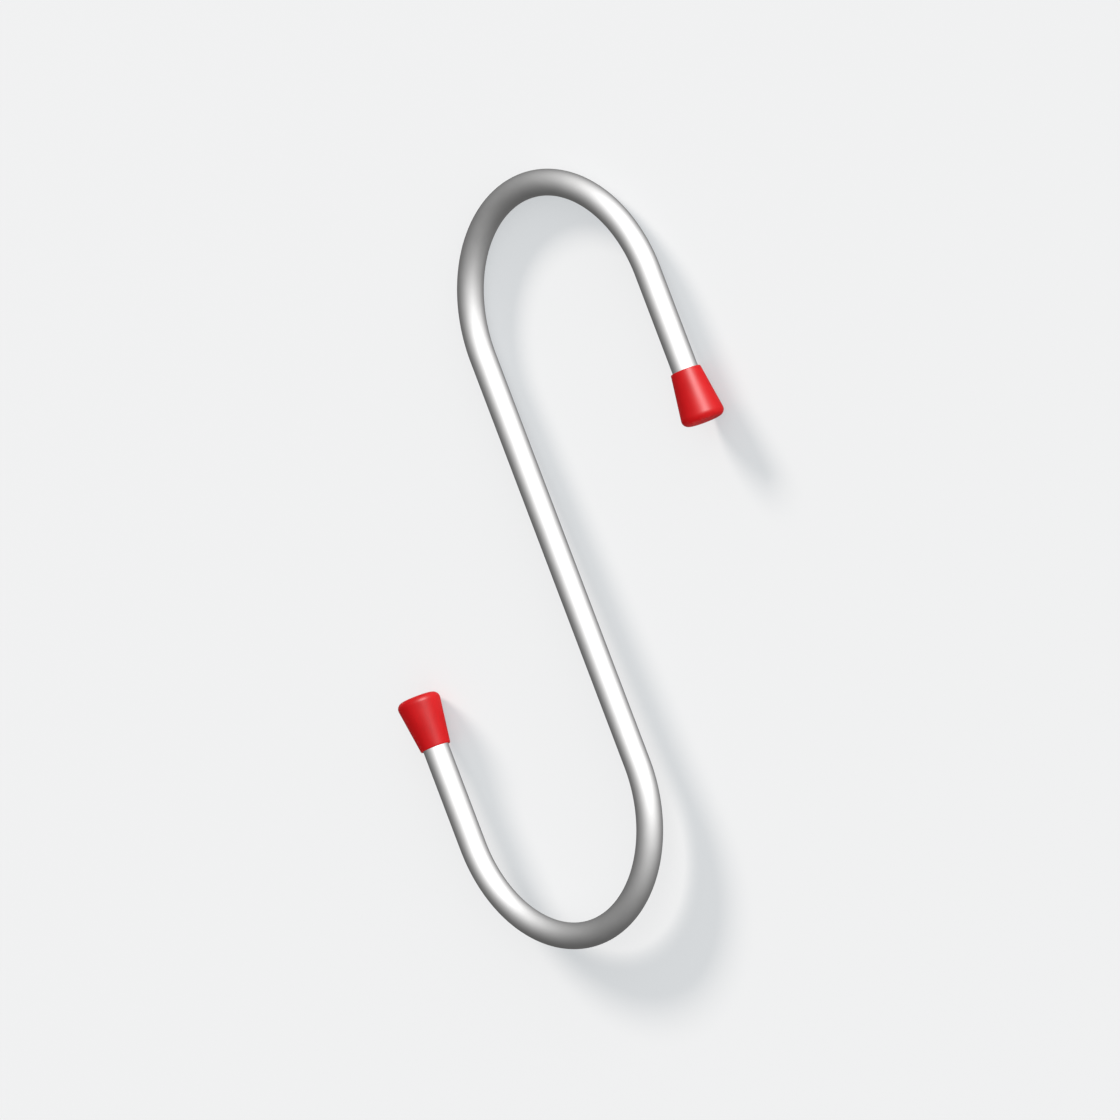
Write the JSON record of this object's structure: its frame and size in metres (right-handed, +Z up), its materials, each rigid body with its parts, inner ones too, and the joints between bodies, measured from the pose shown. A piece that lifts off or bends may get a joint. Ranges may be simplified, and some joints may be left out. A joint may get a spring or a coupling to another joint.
{
  "type": "bucket hook",
  "caption": "S-shaped steel hook with a capped arm at each end, for hanging a bucket from a ladder rung, rail or bar.",
  "frame": {"origin": "on the surface that the hook lies on, under the middle of the shank", "axes": "+X across the hook from the lower arm to the upper arm, +Y along the shank from the lower bend to the upper bend, +Z up from the surface; the hook's own plane leans 1.6 degrees, as it does at rest"},
  "size_m": [0.13, 0.1634, 0.01],
  "materials": {
    "steel_bar": "satin",
    "red_cap": "satin"
  },
  "bodies": {
    "root": {"hook_rod": "steel_bar", "lower_end_cap": "red_cap", "upper_end_cap": "red_cap"}
  },
  "joints": []
}
